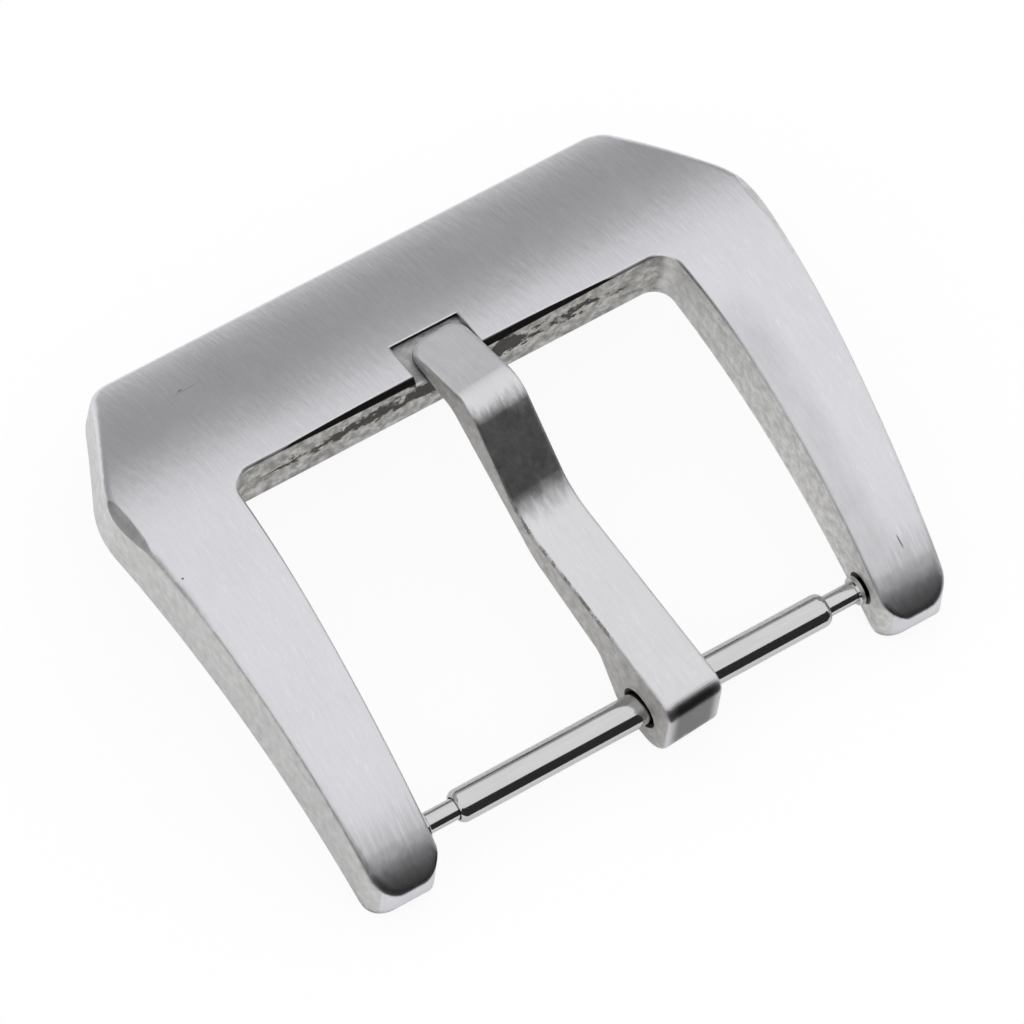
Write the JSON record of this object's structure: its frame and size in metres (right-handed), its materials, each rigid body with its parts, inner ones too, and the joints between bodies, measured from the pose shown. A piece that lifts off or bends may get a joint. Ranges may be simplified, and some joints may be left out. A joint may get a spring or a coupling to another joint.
{
  "type": "watch buckle",
  "caption": "Tang buckle for a watch strap: arched steel frame with angled front corners, a hinged tang resting in a notch, and a sprung bar held between the arms.",
  "frame": {"origin": "middle of the spring bar's axis, half way between the arms' inner faces", "axes": "+X runs along the spring bar, +Y runs from the bar to the front of the frame, +Z points out of the worn top face"},
  "size_m": [0.0318, 0.0256, 0.0082],
  "materials": {
    "frame_steel": "satin brushed from front to back, softly worn, with cast inner walls",
    "tang_steel": "satin brushed along its length, with brighter edges",
    "bar_steel": "polished",
    "pin_steel": "polished, turned",
    "spring_steel": "drawn wire"
  },
  "bodies": {
    "frame": {"frame": "frame_steel"},
    "tang": {"tang": "tang_steel"},
    "barrel": {"barrel": "bar_steel", "coil_spring": "spring_steel"},
    "plunger_left": {"plunger_left": "pin_steel"},
    "plunger_right": {"plunger_right": "pin_steel"}
  },
  "joints": [
    {"name": "tang_hinge", "type": "hinge", "parent": "frame", "child": "tang", "pos_m": [0, 0, 0], "axis": [1, 0, 0], "range_deg": [0, 340]},
    {"name": "barrel_turn", "type": "hinge", "parent": "frame", "child": "barrel", "pos_m": [0, 0, 0], "axis": [1, 0, 0], "continuous": true},
    {"name": "plunger_left_slide", "type": "slide", "parent": "barrel", "child": "plunger_left", "axis": [1, 0, 0], "range_m": [0, 0.0011], "stiffness_N_per_m": 500, "springref_m": -0.0012, "deforming": ["coil_spring"]},
    {"name": "plunger_right_slide", "type": "slide", "parent": "barrel", "child": "plunger_right", "axis": [-1, 0, 0], "range_m": [0, 0.0011], "stiffness_N_per_m": 500, "springref_m": -0.0012, "deforming": ["coil_spring"]}
  ]
}
